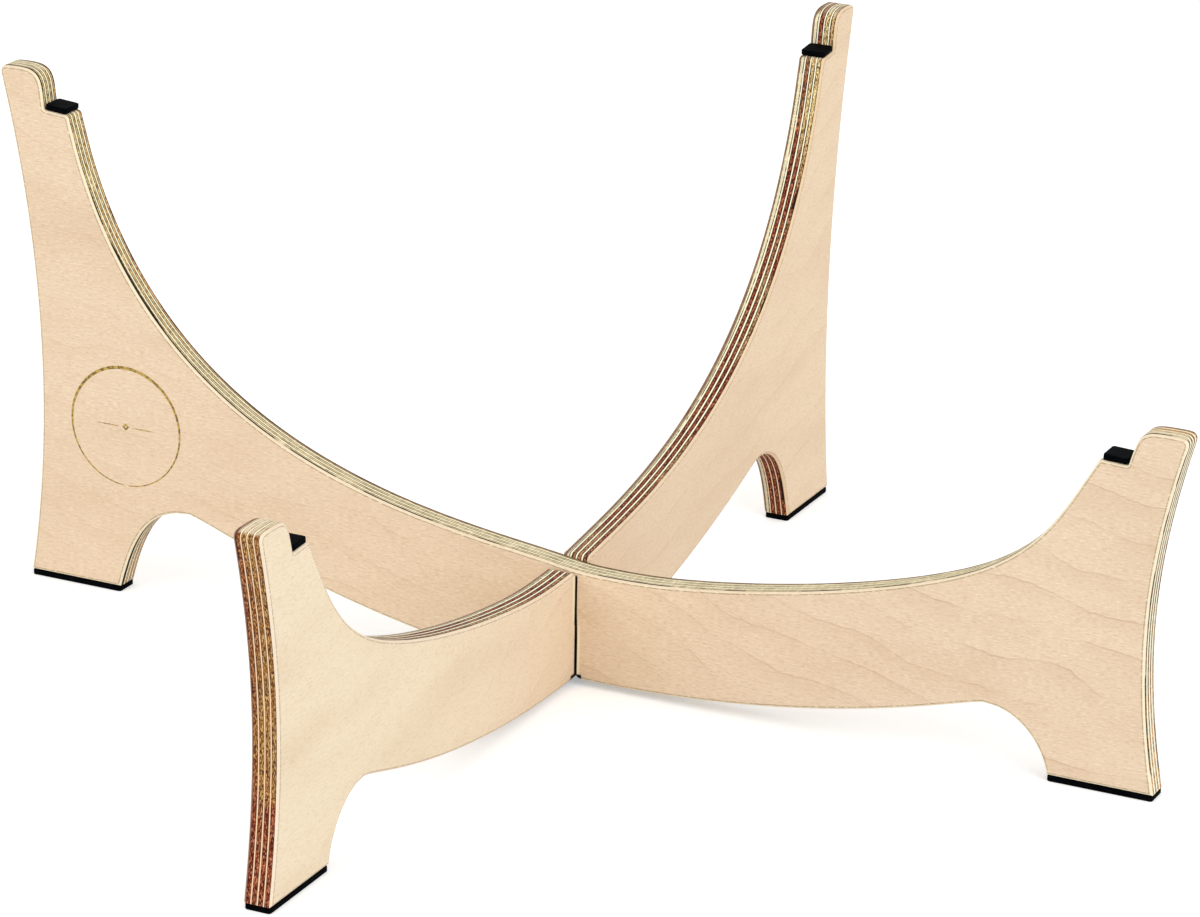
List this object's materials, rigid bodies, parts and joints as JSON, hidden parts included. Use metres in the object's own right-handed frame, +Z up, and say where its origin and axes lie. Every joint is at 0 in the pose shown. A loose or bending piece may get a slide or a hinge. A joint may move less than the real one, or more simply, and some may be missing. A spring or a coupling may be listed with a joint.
{
  "type": "handpan stand",
  "caption": "Low stand for a handpan: crossed birch plywood panels halved together, with a padded notch in each raised end and a rubber pad under each foot.",
  "frame": {"origin": "on the floor, on the upright line where the two panels cross", "axes": "+Z up; the upper panel lies along X with its low end towards +X, and the lower panel along Y with its low end towards -Y"},
  "size_m": [0.5554, 0.5554, 0.2381],
  "materials": {
    "birch_plywood": "clear satin finish over birch veneer, with the plies showing as stripes along every edge",
    "black_rubber": "matt black rubber"
  },
  "bodies": {
    "lower": {"lower_panel": "birch_plywood", "lower_high_rest_pad": "black_rubber", "lower_low_rest_pad": "black_rubber", "lower_high_foot_pad": "black_rubber", "lower_low_foot_pad": "black_rubber"},
    "upper": {"upper_panel": "birch_plywood", "upper_high_rest_pad": "black_rubber", "upper_low_rest_pad": "black_rubber", "upper_high_foot_pad": "black_rubber", "upper_low_foot_pad": "black_rubber"}
  },
  "joints": [
    {"name": "upper_lift", "type": "slide", "parent": "lower", "child": "upper", "axis": [0, 0, 1], "range_m": [0, 0.06]}
  ]
}
